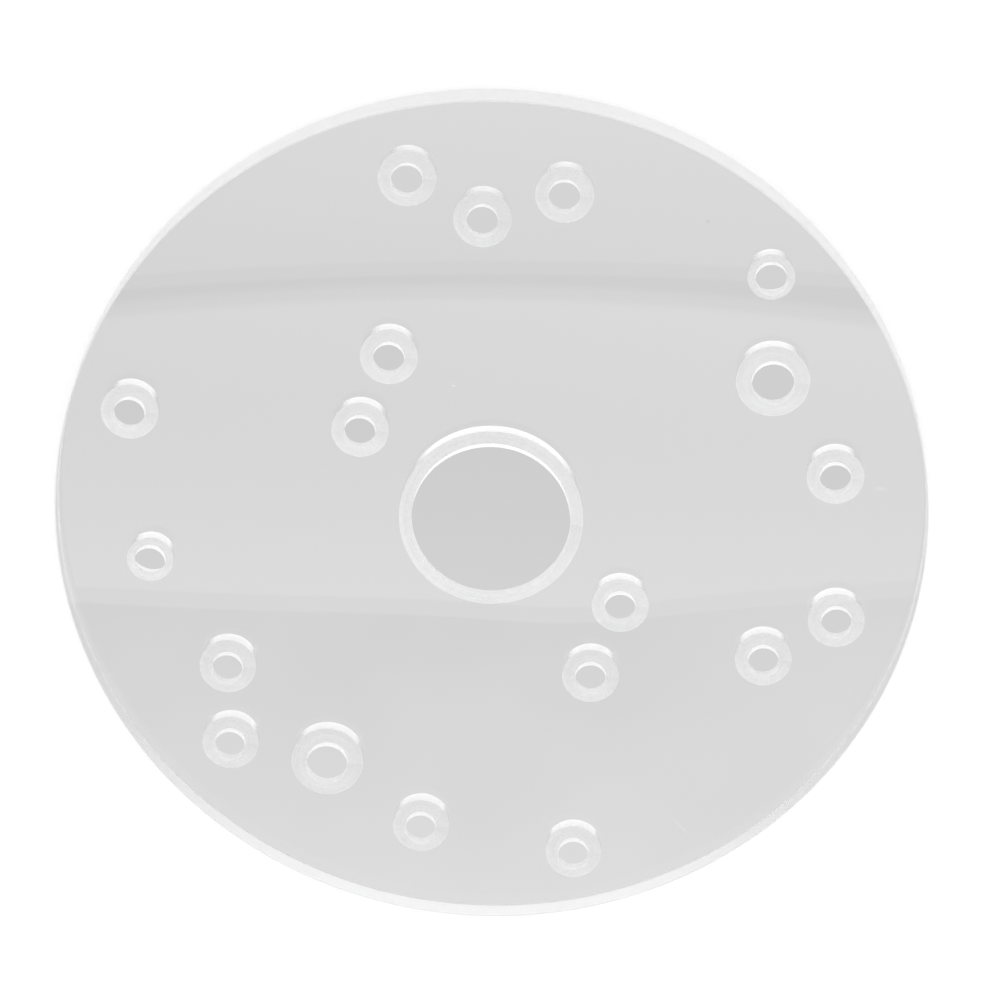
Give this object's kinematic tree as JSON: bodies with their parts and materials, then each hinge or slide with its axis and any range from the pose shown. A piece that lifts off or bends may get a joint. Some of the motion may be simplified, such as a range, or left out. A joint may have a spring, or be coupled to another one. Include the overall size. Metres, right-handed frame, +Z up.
{
  "type": "router base plate",
  "caption": "Round clear acrylic base plate for a hand router, with a stepped middle opening for a template guide and counterbored screw holes in several patterns.",
  "frame": {"origin": "axis of the middle opening, at the height of the lower, work face", "axes": "+Z up, out of the flat face that meets the router; +X along the long side of the rectangular screw pattern"},
  "size_m": [0.165, 0.165, 0.0079],
  "materials": {
    "clear_acrylic": "clear, with polished faces and satin milled walls and ledges"
  },
  "bodies": {
    "root": {"base_plate": "clear_acrylic"}
  },
  "joints": []
}
